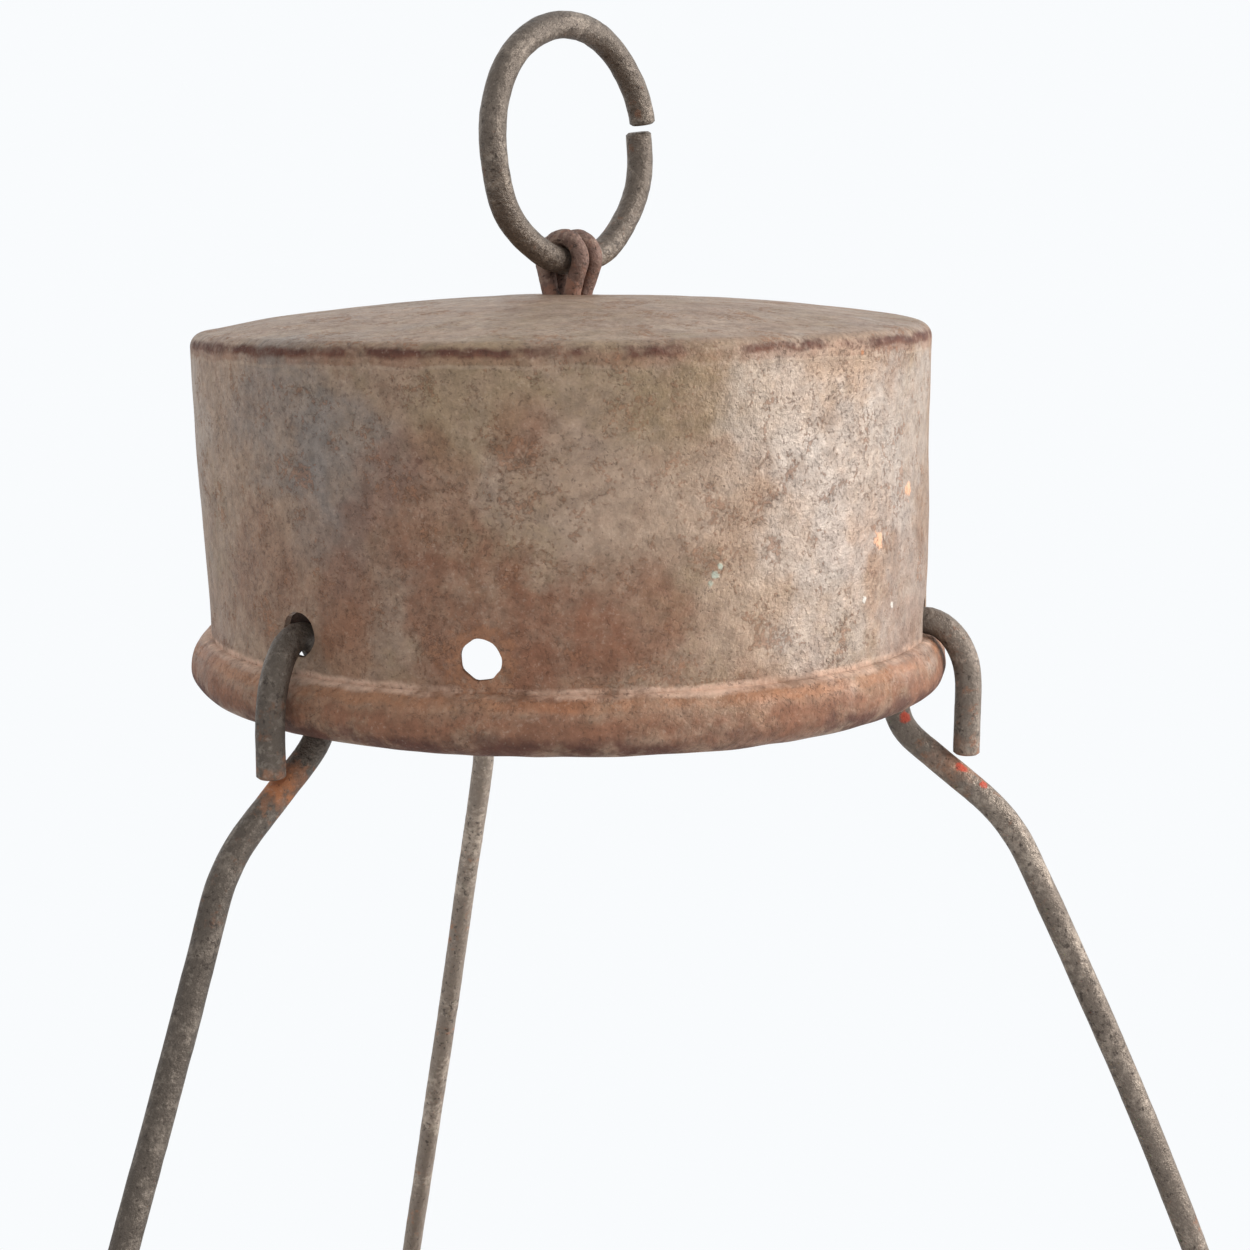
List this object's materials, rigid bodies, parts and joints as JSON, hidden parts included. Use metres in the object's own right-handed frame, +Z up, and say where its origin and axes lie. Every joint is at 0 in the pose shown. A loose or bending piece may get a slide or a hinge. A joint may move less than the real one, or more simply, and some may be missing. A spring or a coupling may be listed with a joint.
{
  "type": "hanging candle lantern",
  "caption": "Hanging candle lantern: drawn steel smoke cap on a wire ring, stiff wire hangers hooked round its rim, and a beaded pan that holds a glass globe and a candle.",
  "frame": {"origin": "seat of the hanging ring: the inside of its top, where the hook that holds the lantern bears", "axes": "+Z up along the lantern's axis, -Y to the front, where the empty hole in the cap is, +X to the right seen from the front"},
  "size_m": [0.2057, 0.203, 0.3034],
  "materials": {
    "patinated_steel": "aged drawn sheet, brown-grey patina with rust blooms, satin to matt",
    "dark_wire": "dark brown-grey patina, semi-gloss, worn and pitted",
    "rusty_wire": "red-brown rust, matt",
    "clear_glass": "clear blown glass with slight ripple",
    "candle_wax": "ivory wax, soft sheen",
    "charred_string": "braided cotton, charred at its tip"
  },
  "bodies": {
    "ring": {"hanging_ring": "dark_wire"},
    "tie": {"tie_wire": "rusty_wire"},
    "cap": {"smoke_cap": "patinated_steel"},
    "left_hanger": {"hanger_left": "dark_wire"},
    "right_hanger": {"hanger_right": "dark_wire"},
    "back_hanger": {"hanger_back": "dark_wire"},
    "pan": {"base_pan": "patinated_steel", "globe_gallery": "patinated_steel", "gallery_rivet_1": "rusty_wire", "gallery_rivet_2": "rusty_wire", "gallery_rivet_3": "rusty_wire", "candle_socket": "patinated_steel", "socket_rivet": "rusty_wire"},
    "globe": {"glass_globe": "clear_glass"},
    "candle": {"candle": "candle_wax", "wick": "charred_string"}
  },
  "joints": [
    {"name": "tie_swing", "type": "hinge", "parent": "ring", "child": "tie", "pos_m": [0, 0, -0.0262], "axis": [0.6225, 0.7826, 0], "range_deg": [-75, 75]},
    {"name": "cap_swivel", "type": "hinge", "parent": "tie", "child": "cap", "pos_m": [0, 0, -0.0301], "axis": [0, 0, 1], "continuous": true},
    {"name": "pan_sway", "type": "hinge", "parent": "cap", "child": "pan", "pos_m": [0, 0, 0.1122], "axis": [1, 0, 0], "range_deg": [-0.8, 0.8]},
    {"name": "left_hook", "type": "hinge", "parent": "cap", "child": "left_hanger", "pos_m": [-0.02946, -0.03214, -0.066], "axis": [1, 0, 0], "range_deg": [-1.55, 1.55]},
    {"name": "right_hook", "type": "hinge", "parent": "cap", "child": "right_hanger", "pos_m": [0.04248, -0.00981, -0.0685], "axis": [1, 0, 0], "range_deg": [-1.55, 1.55]},
    {"name": "back_hook", "type": "hinge", "parent": "cap", "child": "back_hanger", "pos_m": [-0.00981, 0.04248, -0.0669], "axis": [1, 0, 0], "range_deg": [-1.55, 1.55]},
    {"name": "globe_lift", "type": "slide", "parent": "pan", "child": "globe", "axis": [0, 0, 1], "range_m": [0, 0.06]},
    {"name": "candle_lift", "type": "slide", "parent": "pan", "child": "candle", "axis": [0, 0, 1], "range_m": [0, 0.03]}
  ],
  "couplings": [
    {"joint": "left_hook", "follows": "pan_sway", "ratio": 1.8307},
    {"joint": "right_hook", "follows": "pan_sway", "ratio": 1.8523},
    {"joint": "back_hook", "follows": "pan_sway", "ratio": 1.8385}
  ]
}
